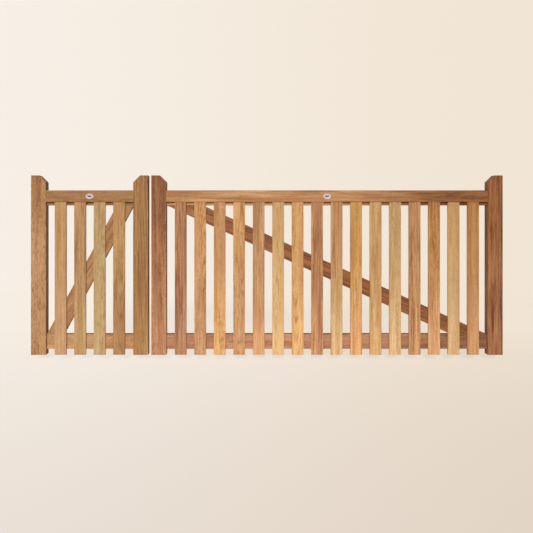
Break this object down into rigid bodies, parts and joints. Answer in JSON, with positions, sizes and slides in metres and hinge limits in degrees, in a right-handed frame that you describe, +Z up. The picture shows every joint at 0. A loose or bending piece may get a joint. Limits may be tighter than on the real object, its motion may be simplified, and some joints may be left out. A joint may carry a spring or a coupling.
{
  "type": "split driveway gate",
  "caption": "Unequal pair of hardwood palisade gate leaves with diagonal braces, hung on hook-and-band hinges whose plates bolt to posts.",
  "frame": {"origin": "centre of the mounting face of the lower left hook plate, against the left post's face", "axes": "+X along the closed gate from the narrow leaf to the wide leaf, show side of the leaves faces -Y, +Z up"},
  "size_m": [3.648, 0.122, 1.38],
  "materials": {
    "iroko_straw": "planed and oiled",
    "iroko_golden": "planed and oiled",
    "iroko_tan": "planed and oiled",
    "iroko_olive": "planed and oiled",
    "iroko_brown": "planed and oiled",
    "iroko_reddish": "planed and oiled",
    "iroko_umber": "planed and oiled",
    "galvanised_steel": "hot-dip galvanised",
    "white_enamel": "satin enamel"
  },
  "bodies": {
    "hooks": {"left_lower_hook": "galvanised_steel", "left_upper_hook": "galvanised_steel", "right_lower_hook": "galvanised_steel", "right_upper_hook": "galvanised_steel"},
    "left_leaf": {"left_hanging_stile": "iroko_brown", "left_meeting_stile": "iroko_brown", "left_top_rail": "iroko_brown", "left_bottom_rail": "iroko_tan", "left_brace": "iroko_brown", "left_lower_band": "galvanised_steel", "left_upper_band": "galvanised_steel", "left_badge": "white_enamel", "left_pale_1": "iroko_tan", "left_pale_2": "iroko_brown", "left_pale_3": "iroko_olive", "left_pale_4": "iroko_brown"},
    "right_leaf": {"right_hanging_stile": "iroko_umber", "right_meeting_stile": "iroko_reddish", "right_top_rail": "iroko_tan", "right_bottom_rail": "iroko_reddish", "right_brace": "iroko_umber", "right_lower_band": "galvanised_steel", "right_upper_band": "galvanised_steel", "right_badge": "white_enamel", "right_pale_1": "iroko_tan", "right_pale_2": "iroko_olive", "right_pale_3": "iroko_tan", "right_pale_4": "iroko_tan", "right_pale_5": "iroko_olive", "right_pale_6": "iroko_olive", "right_pale_7": "iroko_golden", "right_pale_8": "iroko_straw", "right_pale_9": "iroko_reddish", "right_pale_10": "iroko_golden", "right_pale_11": "iroko_straw", "right_pale_12": "iroko_tan", "right_pale_13": "iroko_tan", "right_pale_14": "iroko_golden", "right_pale_15": "iroko_tan", "right_pale_16": "iroko_reddish"}
  },
  "joints": [
    {"name": "left_leaf_swing", "type": "hinge", "parent": "hooks", "child": "left_leaf", "pos_m": [0.028, -0.0097, 0], "axis": [0, 0, 1], "range_deg": [0, 90]},
    {"name": "right_leaf_swing", "type": "hinge", "parent": "hooks", "child": "right_leaf", "pos_m": [3.62, -0.0097, 0], "axis": [0, 0, -1], "range_deg": [0, 90]}
  ]
}
